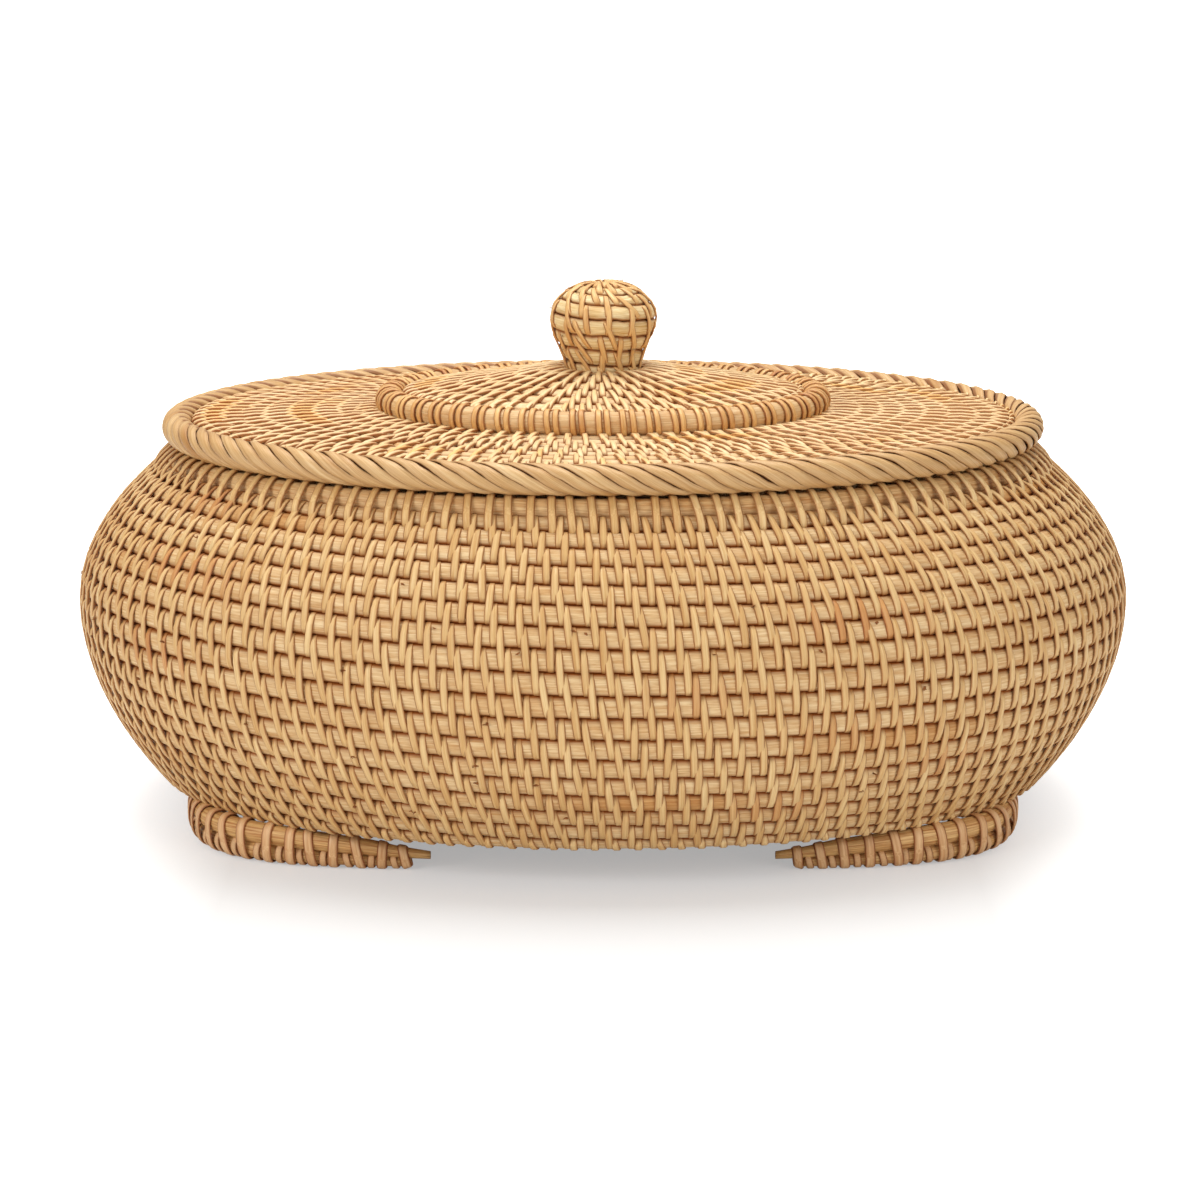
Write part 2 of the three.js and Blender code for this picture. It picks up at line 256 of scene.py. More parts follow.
def joined(x, y, z):
    return output(tree_of(x, y, z), "ShaderNodeCombineXYZ", {"X": x, "Y": y, "Z": z})


def parted(vector):
    made = node(tree_of(vector), "ShaderNodeSeparateXYZ", {"Vector": vector})
    return [Value(socket) for socket in made.outputs]


def noise(place, scale=1.0, detail=2.0, roughness=0.5, name=0):
    return output(tree_of(place), "ShaderNodeTexNoise", {
        "Vector": place, "Scale": scale, "Detail": detail, "Roughness": roughness,
    }, name)


def node_group(name, family, inputs, outputs):
    """An empty node group with its named sockets, and the values that come in."""
    tree = bpy.data.node_groups.new(name, family)
    for direction, sockets in (("INPUT", inputs), ("OUTPUT", outputs)):
        for label, kind in sockets.items():
            tree.interface.new_socket(label, in_out=direction, socket_type="NodeSocket" + kind)
    inlet = tree.nodes.new("NodeGroupInput")
    outlet = tree.nodes.new("NodeGroupOutput")
    return tree, {label: Value(inlet.outputs[label]) for label in inputs}, outlet


def use_group(group, inputs):
    kind = group.bl_idname.replace("Tree", "Group")
    made = node(tree_of(*inputs.values()), kind, node_tree=group)
    for key, value in inputs.items():
        feed(made.inputs[key], value)
    return {socket.name: Value(socket) for socket in made.outputs}


# Geometry node groups that give a place on the box

SURFACE_SHAPE = {
    "Meridian": "Object", "Plan": "Object", "Plan depth": "Float", "Corner fullness": "Float",
    "Wander": "Float",
}


def sampled(curve, factor, value=0.0):
    """Position, tangent and a carried value at a share of a curve's length."""
    tree = tree_of(curve)
    curves = output(tree, "GeometryNodeObjectInfo", {"Object": curve}, "Geometry")
    made = node(tree, "GeometryNodeSampleCurve", {"Curves": curves, "Factor": factor, "Value": value},
                mode="FACTOR")
    return {socket.name: Value(socket) for socket in made.outputs}


def make_surface_group():
    """A place over an oval surface: its meridian's x, y and z are half length, half depth and height."""
    tree, given, outlet = node_group(
        "Over the surface", "GeometryNodeTree",
        {**SURFACE_SHAPE, "Turn": "Float", "Share": "Float", "Lift": "Float"}, {"Position": "Vector"},
    )
    plan = sampled(given["Plan"], maths("FRACT", given["Turn"]))
    cosine, sine, _ = parted(plan["Position"])
    sine = sine / given["Plan depth"]
    noise_at = joined(cosine * 2.5, sine * 2.5, given["Share"] * 5.0)
    sway, swell, _ = parted(noise(noise_at, 1.3, name="Color"))
    away_from_ends = clamped(given["Share"] * (1 - given["Share"]) * 12.0)
    share = clamped(given["Share"] + (sway - 0.5) * given["Wander"] * away_from_ends)
    meridian = sampled(given["Meridian"], share)
    length, depth, height = parted(meridian["Position"])
    d_length, d_depth, d_height = parted(meridian["Tangent"])
    corner = cosine * sine * 2
    bulge = 1 + given["Corner fullness"] * (1 - share) * (1 - share) * corner * corner
    place = joined(length * cosine * bulge, depth * sine * bulge, height)
    up = 0 - (length * d_depth * sine * sine + depth * d_length * cosine * cosine)
    normal = joined(depth * d_height * cosine, length * d_height * sine, up)
    lift = given["Lift"] + (swell - 0.5) * given["Wander"] * SWELL_SHARE
    moved = vector_maths("ADD", place, scaled(vector_maths("NORMALIZE", normal), lift))
    feed(outlet.inputs["Position"], moved)
    return tree


def make_path_group():
    """A place round a path that runs clockwise seen from above: out from it, and up from it."""
    tree, given, outlet = node_group(
        "Round the path", "GeometryNodeTree",
        {"Path": "Object", "Factor": "Float", "Out": "Float", "Up": "Float"}, {"Position": "Vector"},
    )
    path = sampled(given["Path"], given["Factor"])
    along_x, along_y, _ = parted(path["Tangent"])
    out = vector_maths("NORMALIZE", joined(0 - along_y, along_x, 0.0))
    offset = vector_maths("ADD", scaled(out, given["Out"]), joined(0.0, 0.0, given["Up"]))
    feed(outlet.inputs["Position"], vector_maths("ADD", path["Position"], offset))
    return tree


SURFACE = make_surface_group()
PATH = make_path_group()


def on_surface(given, turn, share, lift):
    shape = {label: given[label] for label in SURFACE_SHAPE}
    return use_group(SURFACE, {**shape, "Turn": turn, "Share": share, "Lift": lift})["Position"]


def round_path(given, factor, out, up):
    return use_group(PATH, {"Path": given["Path"], "Factor": factor, "Out": out, "Up": up})["Position"]


def path_radius(given, factor):
    """How thick the path is drawn at a share of its length."""
    radius = output(tree_of(factor), "GeometryNodeInputRadius")
    return sampled(given["Path"], factor, radius)["Value"]


# The trees that make the pieces

COIL_INPUTS = {"Geometry": "Geometry", "Material": "Material", "Rows": "Float", **SURFACE_SHAPE}
PATH_INPUTS = {"Geometry": "Geometry", "Material": "Material", "Path": "Object", "Path length": "Float"}


def maker_tree(name, shared, integers, floats):
    """An empty tree that makes a piece, with shared inputs and its own."""
    inputs = {**shared, **dict.fromkeys(integers, "Int"), **dict.fromkeys(floats, "Float")}
    tree, given, outlet = node_group(name, "GeometryNodeTree", inputs, {"Geometry": "Geometry"})
    along, around, _ = parted(output(tree, "GeometryNodeInputPosition"))
    return given, outlet, along, around


def stored(geometry, name, value, kind="FLOAT_VECTOR", domain="POINT"):
    return output(tree_of(geometry), "GeometryNodeStoreNamedAttribute", {
        "Geometry": geometry, "Name": name, "Value": value,
    }, data_type=kind, domain=domain)


def finish_tree(given, outlet, geometry, position, lay, number=None):
    """Stores each point's lay and the number of its strip, and puts it in its place."""
    tree = outlet.id_data
    if number:
        geometry = stored(geometry, "strand", number, "INT")
    geometry = stored(geometry, "lay", lay)
    geometry = output(tree, "GeometryNodeSetPosition", {"Geometry": geometry, "Position": position})
    real = output(tree, "GeometryNodeRealizeInstances", {"Geometry": geometry})
    dressed = output(tree, "GeometryNodeSetMaterial", {"Geometry": real, "Material": given["Material"]})
    feed(outlet.inputs["Geometry"], dressed)
    return tree


def copies(seed, count):
    """As many copies of the seed as asked for, each knowing its number."""
    tree = tree_of(seed)
    line = output(tree, "GeometryNodeMeshLine", {"Count": count, "Offset": (0.0, 0.0, 0.0)})
    spread = output(tree, "GeometryNodeInstanceOnPoints", {"Points": line, "Instance": seed})
    numbered = stored(spread, "copy", output(tree, "GeometryNodeInputIndex"), "INT", "INSTANCE")
    real = output(tree, "GeometryNodeRealizeInstances", {"Geometry": numbered})
    number = output(tree, "GeometryNodeInputNamedAttribute", {"Name": "copy"}, "Attribute", data_type="INT")
    return real, number


def random_between(low, high, number, seed):
    made = node(tree_of(number), "FunctionNodeRandomValue", {"ID": number, "Seed": seed}, data_type="FLOAT")
    for label, limit in (("Min", low), ("Max", high)):
        slot = next(slot for slot in made.inputs if slot.name == label and slot.type == "VALUE")
        slot.default_value = limit
    return Value(next(out for out in made.outputs if out.type == "VALUE"))


def turns_a_metre(given, share):
    half_length, _, _ = parted(sampled(given["Meridian"], share)["Position"])
    return 1 / (half_length * given["Unit length"])


def make_coil_tree():
    """One rod wound over a surface, rising a row a turn, thin where it starts and ends."""
    given, outlet, along, around = maker_tree(
        "Coiled rod", COIL_INPUTS, (),
        ("First turn", "Last turn", "Depth", "Gap share", "Squareness", "Turn length"),
    )
    rows = given["Rows"]
    turn = mixed(given["First turn"], given["Last turn"], along)
    low = clamped(turn - 1, 0.0, rows) / rows
    high = clamped(turn, 0.0, rows) / rows
    fullness = (high - low) * rows
    half = (high - low - given["Gap share"]) / 2
    depth = given["Depth"] * mixed(THIN_END_SHARE, 1.0, fullness)
    out, up = (squared_off(wave, given["Squareness"]) for wave in circle(around + 0.5))
    under = (1 - out) / 2
    position = on_surface(given, turn, (low + high) / 2 + half * up, 0 - depth * under)
    # Painted shade: a rod darkens towards the grooves above and below it.
    deep = abs(up) ** 3.0 * 0.9 + maths("MINIMUM", under, 1 - under)
    lay = joined(turn * given["Turn length"], around, deep)
    return finish_tree(given, outlet, given["Geometry"], position, lay)


def make_stitch_tree():
    """Strips looped round two neighbouring rows of a coil, all along it."""
    given, outlet, along, around = maker_tree(
        "Stitches", COIL_INPUTS, ("Count", "First number"),
        ("First turn", "First count", "Last count", "Width", "Thickness", "Depth", "Lean",
         "Scatter", "Dip", "Row height", "Unit length", "Loop power"),
    )
    geometry, copy_number = copies(given["Geometry"], given["Count"])
    number = copy_number + given["First number"]
    rows, row_height, thickness = given["Rows"], given["Row height"], given["Thickness"]
    first, last = given["First count"], given["Last count"]
    growth = (last - first) / (rows + 1)
    root = maths("SQRT", first * first + growth * number * 2)
    turn = given["First turn"] + 2 * number / (first + root)
    pitch = 1 / root
    top = clamped(turn, 0.0, rows) / rows
    bottom = clamped(turn - 2, 0.0, rows) / rows
    loop_power = given["Loop power"]
    loop_cosine, loop_sine = circle(along)
    along_rows = squared_off(loop_cosine, loop_power)
    out = squared_off(loop_sine, loop_power)
    half_depth = given["Depth"] / 2
    reach = half_depth + thickness / 2
    rows_normal = squared_off(loop_cosine, 2 - loop_power) / row_height
    out_normal = squared_off(loop_sine, 2 - loop_power) / reach
    normal_length = maths("SQRT", rows_normal * rows_normal + out_normal * out_normal)
    section_cosine, section_sine = circle(around)
    narrowing = 1 - clamped(along_rows * 1.5 - 0.45) * 0.15
    across = squared_off(section_cosine, STRIP_SQUARENESS) * given["Width"] / 2 * narrowing
    height = section_sine * thickness / 2
    bridging = maths("MAXIMUM", 1 - abs(along_rows) * 2.2, 0.0)
    dip = given["Dip"] * bridging * bridging * maths("MAXIMUM", out, 0.0)
    lift = reach * out - half_depth + height * out_normal / normal_length - dip
    row_share = height * rows_normal / normal_length / row_height / rows
    half = (top - bottom) / 2
    share = (top + bottom) / 2 + half * along_rows + row_share
    turn_share = turns_a_metre(given, clamped((top + bottom) / 2))
    jitter = random_between(-0.5, 0.5, number, 1) * given["Scatter"]
    lean = given["Lean"] + random_between(-0.5, 0.5, number, 2) * given["Scatter"]
    turned = turn + (jitter + lean * along_rows) * pitch + across * turn_share
    position = on_surface(given, turned, share, lift)
    # Painted shade: a strip darkens where it dives down between the rows.
    sunk = maths("MINIMUM", 0 - lift, lift + given["Depth"]) + thickness * 0.6
    hidden = clamped(sunk / given["Depth"] * 3.2)
    lay = joined(along * row_height * 4 + number * LINES_SET_ON, around, hidden)
    return finish_tree(given, outlet, geometry, position, lay, number)


def make_rod_tree():
    """A round rod along a path, as thick as the path says."""
    given, outlet, along, around = maker_tree("Rod on a path", PATH_INPUTS, (), ("Unevenness",))
    thick = path_radius(given, along)
    bumps = noise(joined(along * given["Path length"] * BUMPS_A_METRE, 0.0, 0.0))
    thick = thick * (1 + (bumps - 0.5) * given["Unevenness"])
    out, up = circle(around + 0.5)
    position = round_path(given, along, thick * out, thick * up)
    lay = joined(along * given["Path length"], around, 0.0)
    return finish_tree(given, outlet, given["Geometry"], position, lay)


def make_wrap_tree():
    """Strips looped round a path, in pairs where the rhythm isn't zero."""
    given, outlet, along, around = maker_tree(
        "Wraps on a path", PATH_INPUTS, ("Count",),
        ("Margin", "Rhythm", "Half width", "Half height", "Width", "Thickness", "Lean", "Scatter",
         "Loop power", "Tilt"),
    )
    geometry, number = copies(given["Geometry"], given["Count"])
    pitch = (given["Path length"] - given["Margin"] * 2) / given["Count"]
    paired = 1 - maths("MODULO", number, 2.0) * 2
    jitter = random_between(-0.5, 0.5, number, 3) * given["Scatter"]
    lean = given["Lean"] + random_between(-0.5, 0.5, number, 4) * given["Scatter"]
    section_cosine, section_sine = circle(around)
    across = squared_off(section_cosine, STRIP_SQUARENESS) * given["Width"] / 2
    height = section_sine * given["Thickness"] / 2
    out, up = (squared_off(wave, given["Loop power"]) for wave in circle(along))
    steps_on = number + 0.5 + paired * given["Rhythm"] + jitter + lean * up
    factor = (given["Margin"] + steps_on * pitch + across) / given["Path length"]
    reach = given["Thickness"] / 2 + height
    swell = path_radius(given, factor)
    sideways = (given["Half width"] * swell + reach) * out
    upwards = (given["Half height"] * swell + reach) * up
    cosine = maths("COSINE", given["Tilt"])
    sine = maths("SINE", given["Tilt"])
    position = round_path(given, factor, sideways * cosine - upwards * sine,
                          sideways * sine + upwards * cosine)
    lay = joined(along * given["Half height"] * 7 + number * LINES_SET_ON, around, 0.0)
    return finish_tree(given, outlet, geometry, position, lay, number)


def make_rope_tree():
    """Wide strips laid side by side round a closed path, the upper edge of each tucked under the next."""
    given, outlet, along, around = maker_tree(
        "Laid rope", PATH_INPUTS, ("Strips",), ("Twists", "Radius", "Overlap", "Thickness", "Edge lift"),
    )
    geometry, number = copies(given["Geometry"], given["Strips"])
    thickness, edge_lift = given["Thickness"], given["Edge lift"]
    cosine, sine = circle(along)
    sway, swell, rise = parted(noise(joined(cosine * 9, sine * 9, number * 3.7), 1.6, name="Color"))
    section_cosine, section_sine = circle(around)
    side = squared_off(section_cosine, 0.6)
    half_share = given["Overlap"] / given["Strips"] / 2 * (1 + (swell - 0.5) * 0.9)
    out, up = circle(number / given["Strips"] + along * given["Twists"] + side * half_share
                     + (sway - 0.5) * 0.04)
    crown = (1 - side * side) * 0.85
    height = (section_sine / 2 + crown) * thickness
    lifted = edge_lift * (0 - side) * clamped((rise - 0.3) * 2.6, 0.2, 1.0)
    radius = given["Radius"] - thickness * 1.15 - edge_lift * 0.5 + height + lifted
    position = round_path(given, along, radius * out, radius * up)
    # Painted shade: each strip darkens at its edges, and on the rope's inner side also over the half whose
    # edge tucks under the next strip.
    inward = clamped(out * -4.0 - 0.3)
    tucked = inward * clamped(side * 5 - 0.8)
    deep = clamped(abs(side) * 3 - 2.1) + tucked
    lay = joined(along * given["Path length"] * 1.25 + number * 0.31, around, deep)
    return finish_tree(given, outlet, geometry, position, lay, number)


def make_loose_end_tree():
    """Little tufts of fibre where strips of a coil's stitches start and end."""
    given, outlet, along, around = maker_tree(
        "Loose ends", COIL_INPUTS, ("Count",), ("Length", "Radius", "Row height", "Unit length"),
    )
    geometry, number = copies(given["Geometry"], given["Count"])
    tuft = maths("FLOOR", number / TUFT_FIBRES)
    turn = random_between(0.0, 1.0, tuft, 11)
    row = maths("FLOOR", random_between(0.12, 0.88, tuft, 12) * given["Rows"]) + 0.5
    sideways, upwards = circle(random_between(0.0, 1.0, tuft, 13) + random_between(-0.12, 0.12, number, 14))
    length = given["Length"] * random_between(0.5, 1.0, number, 15)
    hook = along * random_between(0.4, 1.0, number, 16) * 2.6
    run = maths("SINE", hook) * length * 0.6
    taper = 1 - along * 0.6
    section_cosine, section_sine = circle(around)
    share = row / given["Rows"]
    across = run * sideways + given["Radius"] * taper * section_cosine
    turned = turn + across * turns_a_metre(given, share)
    share = share + run * upwards * 0.7 / given["Row height"] / given["Rows"]
    height = (1 - maths("COSINE", hook)) * length * 0.25
    lift = height + given["Radius"] * (1 + taper * section_sine)
    position = on_surface(given, turned, share, lift)
    lay = joined(along * 0.01 + number * 0.37, around, 0.5)
    return finish_tree(given, outlet, geometry, position, lay, number)


# Seeds, curves and pieces

def seed_mesh(steps, sides, closed):
    """A tube in counting space: x runs along it from 0 to 1, and y round it from 0 to 1."""
    spans = steps if closed else steps - 1
    points = [(i / spans, k / sides, 0) for i in range(steps) for k in range(sides)]
    faces = []
    for i in range(spans):
        here, there = i * sides, (i + 1) % steps * sides
        for k in range(sides):
            beside = (k + 1) % sides
            faces.append((here + k, here + beside, there + beside, there + k))
    if not closed:
        faces.append(tuple(range(sides - 1, -1, -1)))
        faces.append(tuple((steps - 1) * sides + k for k in range(sides)))
    mesh = bpy.data.meshes.new("seed")
    mesh.from_pydata(points, [], faces)
    return mesh


def new_object(name, data):
    made = bpy.data.objects.new(name, data)
    bpy.context.scene.collection.objects.link(made)
    return made


def curve_object(points, radii=None, cyclic=False):
    data = bpy.data.curves.new("guide", "CURVE")
    data.dimensions = "3D"
    spline = data.splines.new("POLY")
    spline.points.add(len(points) - 1)
    for i, point in enumerate(points):
        spline.points[i].co = (*point, 1)
        spline.points[i].radius = radii[i] if radii else 1
    spline.use_cyclic_u = cyclic
    made = new_object("guide", data)
    GUIDES.append(made)
    return made


def oval_curve(half_length, half_depth, height=0, radius=1, start=math.pi / 2):
    """A level oval, clockwise seen from above, from the back unless another start is given."""
    angles = [start - math.tau * i / PLAN_POINTS for i in range(PLAN_POINTS)]
    points = [(half_length * math.cos(angle), half_depth * math.sin(angle), height) for angle in angles]
    return curve_object(points, [radius] * PLAN_POINTS, cyclic=True)


def oval_length(half_length, half_depth):
    h = ((half_length - half_depth) / (half_length + half_depth)) ** 2
    return math.pi * (half_length + half_depth) * (1 + 3 * h / (10 + math.sqrt(4 - 3 * h)))


def curve_length(points):
    return sum(math.dist(a, b) for a, b in zip(points, points[1:]))


def straight_meridian(outer, inner):
    outer, inner = Vector(outer), Vector(inner)
    return [tuple(outer.lerp(inner, i / MERIDIAN_POINTS)) for i in range(MERIDIAN_POINTS + 1)]


def grow(name, seed, tree, values):
    """The mesh that a tree makes from a seed."""
    maker = new_object("maker", seed)
    modifier = maker.modifiers.new("make", "NODES")
    modifier.node_group = tree
    for item in tree.interface.items_tree:
        if item.in_out == "INPUT" and item.name in values:
            modifier[item.identifier] = values[item.name]
    bpy.context.view_layer.update()
    depsgraph = bpy.context.evaluated_depsgraph_get()
    evaluated = maker.evaluated_get(depsgraph)
    mesh = bpy.data.meshes.new_from_object(evaluated, preserve_all_data_layers=True, depsgraph=depsgraph)
    maker.modifiers.clear()
    bpy.data.objects.remove(maker)
    mesh.name = name
    mesh.shade_smooth()
    return mesh


def face_outwards(mesh):
    """Turns every face round where the mesh as a whole is inside out."""
    mesh.calc_loop_triangles()
    volume = 0
    for triangle in mesh.loop_triangles:
        a, b, c = (mesh.vertices[i].co for i in triangle.vertices)
        volume += a.dot(b.cross(c))
    if volume < 0:
        mesh.flip_normals()


def add_piece(name, mesh, body, slot, *replaced):
    face_outwards(mesh)
    piece = new_object(name, mesh)
    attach(piece, body)
    if replaced:
        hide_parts(*replaced)


def add_grown(name, tree, seed_size, values, body, slot, *replaced):
    """A piece that a tree makes from a seed with so many steps and sides, closed or not."""
    add_piece(name, grow(name, seed_mesh(*seed_size), tree, values), body, slot, *replaced)


GUIDES = []
COIL = make_coil_tree()
STITCH = make_stitch_tree()
ROD = make_rod_tree()
WRAP = make_wrap_tree()
ROPE = make_rope_tree()
LOOSE_END = make_loose_end_tree()


# Materials

def linear(red, green, blue):
    """A colour as it is read off a screen, from 0 to 255, as light."""
    return tuple(c / 12.92 if c <= 0.04045 else ((c + 0.055) / 1.055) ** 2.4
                 for c in (red / 255, green / 255, blue / 255)) + (1.0,)


def make_fibre_group():
    """Fine lines along a cane, from its lay: a shade from 0 to 1 and a height."""
    tree, given, outlet = node_group(
        "Cane fibres", "ShaderNodeTree",
        {"Lay": "Vector", "Lines": "Float", "Stretch": "Float"}, {"Shade": "Float", "Height": "Float"},
    )
    along, around, _ = parted(given["Lay"])
    # a circle, so that the lines run on past the seam
    cosine, sine = circle(around)
    ring = joined(along * given["Stretch"], cosine * given["Lines"], sine * given["Lines"])
    fine = noise(ring, detail=3.0, roughness=0.65)
    broad = noise(scaled(ring, 0.3), detail=1.0)
    shade = fine * 0.7 + broad * 0.3
    feed(outlet.inputs["Shade"], clamped((shade - 0.36) * 3.6))
    feed(outlet.inputs["Height"], shade)
    return tree


def make_tone_group():
    """The tone of each length of cane, from a number along it, from 0 to 1, and where it is amber."""
    tree, given, outlet = node_group(
        "Cane tones", "ShaderNodeTree",
        {"Number": "Float", "Length": "Float", "Amber": "Float"}, {"Tone": "Float", "Amber": "Float"},
    )
    lengths = given["Number"] / given["Length"]

    def chance(number):
        return output(tree, "ShaderNodeTexWhiteNoise", {"W": number}, "Value", noise_dimensions="1D")

    tone = chance(maths("FLOOR", lengths)) * 0.65 + chance(given["Number"] * 1.37) * 0.35
    run = output(tree, "ShaderNodeTexNoise", {"W": lengths * 1.7, "Scale": 1.0, "Detail": 1.0},
                 noise_dimensions="1D")
    feed(outlet.inputs["Tone"], tone)
    feed(outlet.inputs["Amber"], clamped((run - given["Amber"]) * 9.0))
    return tree


FIBRES = make_fibre_group()
TONES = make_tone_group()


def mix_colour(share, low, high, blend="MIX"):
    inputs = {0: share, 6: low, 7: high}
    return output(tree_of(share), "ShaderNodeMix", inputs, 2, data_type="RGBA", blend_type=blend)


def new_material(name):
    material = bpy.data.materials.new(name)
    material.use_nodes = True
    tree = material.node_tree
    return material, tree, tree.nodes["Principled BSDF"]


def cane_material(
    name, light, dark, amber, fibre, roughness=0.5, length=0.35, amber_from=0.68, lines=9.0, stretch=130.0,
    line_share=0.8, blotch=0.22, stain=(150, 80, 10), stain_share=1.0, bump=0.55, edge=None,
):
    """Cane between light and dark, with amber lengths and fibre lines, and painted shade where it lies
    deep.

    A strip of cane has edges darkened by painted shadow and stain, and its lengths are counted by strands.
    """
    light, dark, amber, fibre, stain, edge_shadow_and_stain = (
        linear(*colour) for colour in (light, dark, amber, fibre, stain, EDGE_SHADOW_AND_STAIN)
    )
    material, tree, shader = new_material(name)
    lay = output(tree, "ShaderNodeAttribute", name="Vector", attribute_name="lay")
    along, around, deep = parted(lay)
    number = output(tree, "ShaderNodeAttribute", name="Fac", attribute_name="strand") if edge else along
    tones = use_group(TONES, {"Number": number, "Length": length, "Amber": amber_from})
    fibres = use_group(FIBRES, {"Lay": lay, "Lines": lines, "Stretch": stretch})
    colour = mix_colour(tones["Tone"], light, dark)
    colour = mix_colour(tones["Amber"], colour, amber)
    colour = mix_colour(fibres["Shade"] * line_share, colour, fibre, "MULTIPLY")
    blotches = noise(output(tree, "ShaderNodeTexCoord", name="Object"), BLOTCHES_A_METRE, 3.0)
    colour = mix_colour(clamped((blotches - 0.5) * 2.4) * blotch, colour, amber)
    # Painted shadow and stain: the sides of a strip are darkened.
    if edge:
        side = abs(circle(around)[0]) ** 3.0
        colour = mix_colour(side * edge, colour, edge_shadow_and_stain, "MULTIPLY")
    # Painted shade: the deeper a point lies, the more it takes the shade colour.
    depth = clamped(deep * 1.3)
    colour = mix_colour(depth * depth * stain_share, colour, stain)
    feed(shader.inputs["Base Color"], colour)
    feed(shader.inputs["Roughness"], roughness + fibres["Shade"] * 0.12 + depth * 0.1)
    feed(shader.inputs["Normal"], output(tree, "ShaderNodeBump", {
        "Height": fibres["Height"], "Strength": bump, "Distance": LINE_HEIGHT,
    }))
    return material


coarse_cane = partial(
    cane_material, length=0.12, amber_from=0.6, lines=6.0, stretch=48.0, line_share=0.6, blotch=0.3,
    stain_share=0.8, bump=0.4,
)
strip_cane = partial(
    cane_material, roughness=0.42, length=29.0, lines=2.6, stretch=90.0, line_share=0.65, blotch=0.2,
    bump=0.4, edge=0.8,
)

ROD_CANE = cane_material("Pale rod cane", (237, 209, 161), (223, 189, 137), (211, 162, 98), (208, 170, 118))
LID_ROD_CANE = cane_material(
    "Pale lid rod cane", (250, 228, 184), (240, 210, 160), (226, 182, 116), (214, 178, 122),
    amber_from=0.7, blotch=0.15, stain_share=0.8,
)
# Painted shade: a darker, more golden copy of the rod cane, for the mouth rod that lies in shade under the
# lid's rope.
SHADED_CANE = cane_material(
    "Mouth rod cane", (238, 202, 146), (222, 182, 122), (206, 156, 92), (196, 152, 94), line_share=0.85,
)
KNOB_CANE = cane_material(
    "Knob band cane", (252, 234, 188), (240, 218, 166), (224, 184, 118), (204, 172, 112),
    length=0.05, amber_from=0.75, lines=7.0, stretch=110.0, line_share=0.85, blotch=0.15, stain_share=0.85,
    bump=0.6,
)
FOOT_CANE = cane_material(
    "Honey foot cane", (240, 202, 136), (222, 178, 110), (198, 144, 78), (178, 122, 60),
    roughness=0.46, length=0.12, amber_from=0.62, lines=7.0, stretch=70.0, line_share=0.9, blotch=0.25,
    stain_share=0.9, bump=0.6,
)
ROPE_CANE = cane_material(
    "Rope strip cane", (228, 195, 143), (210, 171, 116), (196, 150, 90), (210, 178, 126),
    roughness=0.38, length=0.12, amber_from=0.72, lines=8.0, stretch=36.0, blotch=0.2, stain=(128, 66, 22),
    stain_share=0.75, bump=0.35,
)
CORE_CANE = coarse_cane(
    "Inner cane", (178, 124, 68), (150, 96, 48), (140, 84, 38), (170, 116, 64), roughness=0.6,
)
# Painted shade: the rope's core, which shows where the rope's strips part, is darker than the inner cane so
# that those gaps look dark.
GAP_CANE = coarse_cane(
    "Dark cane in gaps", (120, 70, 30), (100, 54, 22), (100, 54, 20), (150, 96, 48), roughness=0.7,
)
STRIP_CANE = strip_cane(
    "Golden strip cane", (235, 205, 150), (221, 181, 118), (210, 154, 92), (208, 170, 108),
)
KNOB_STRIP_CANE = strip_cane(
    "Golden knob strip cane", (244, 208, 144), (228, 184, 118), (206, 150, 82), (206, 164, 100),
    length=3.0, amber_from=0.72, stain_share=0.9,
)
LID_CANE = strip_cane(
    "Pale lid strip cane", (250, 227, 177), (237, 205, 148), (246, 206, 130), (214, 172, 112),
    length=23.0, amber_from=0.6, line_share=0.5, blotch=0.1, edge=0.95,
)
EDGE_CANE = strip_cane(
    "Amber edge strip cane", (244, 206, 138), (214, 162, 94), (196, 136, 70), (206, 162, 104),
    roughness=0.4, length=2.0, line_share=0.6, blotch=0.3, stain_share=0.9, edge=0.9,
)
BINDING_CANE = strip_cane(
    "Foot binding cane", (244, 208, 158), (224, 181, 128), (202, 149, 92), (204, 160, 116),
    length=5.0, amber_from=0.62, line_share=0.7, blotch=0.25, stain_share=0.9, edge=0.9,
)


# Coils

def surface_values(meridian, plan, rows, wander):
    """What the trees are told about a coiled surface."""
    return {
        **plan, "Meridian": curve_object(meridian), "Rows": float(rows),
        "Row height": curve_length(meridian) / rows, "Wander": wander,
    }


def add_coil(rod_name, stitch_names, surface, rod, stitches, body, *replaced):
    """A coil's rod, and the stitches along it, in as many pieces as their names."""
    rows = surface["Rows"]
    rod = {**surface, "Material": ROD_CANE, "First turn": END_TURNS, **rod}
    rod["Last turn"] = rows + 1 - rod["First turn"]
    turns = rows + 1 - 2 * rod["First turn"]
    seed_size = (int(rod["steps"] * turns), rod["sides"], False)
    add_grown(rod_name, COIL, seed_size, rod, body, "cane", *replaced)
    stitches = {**rod, "Material": STRIP_CANE, **stitches}
    growth = (stitches["Last count"] - stitches["First count"]) / (rows + 1)
    total = int(stitches["First count"] * turns + growth * turns * turns / 2)
    loop = seed_mesh(stitches["steps"], STRIP_SIDES, True)
    shared_out = math.ceil(total / len(stitch_names))
    for i, name in enumerate(stitch_names):
        start = i * shared_out
        numbers = {"Count": min(shared_out, total - start), "First number": start}
        add_piece(name, grow(name, loop, STITCH, {**stitches, **numbers}), body, "binding_cane")


def add_loose_ends(name, surface, body, tufts, ends):
    values = {**surface, **ends, "Count": tufts * TUFT_FIBRES}
    add_grown(name, LOOSE_END, FIBRE_SEED_SIZE, values, body, "binding_cane")


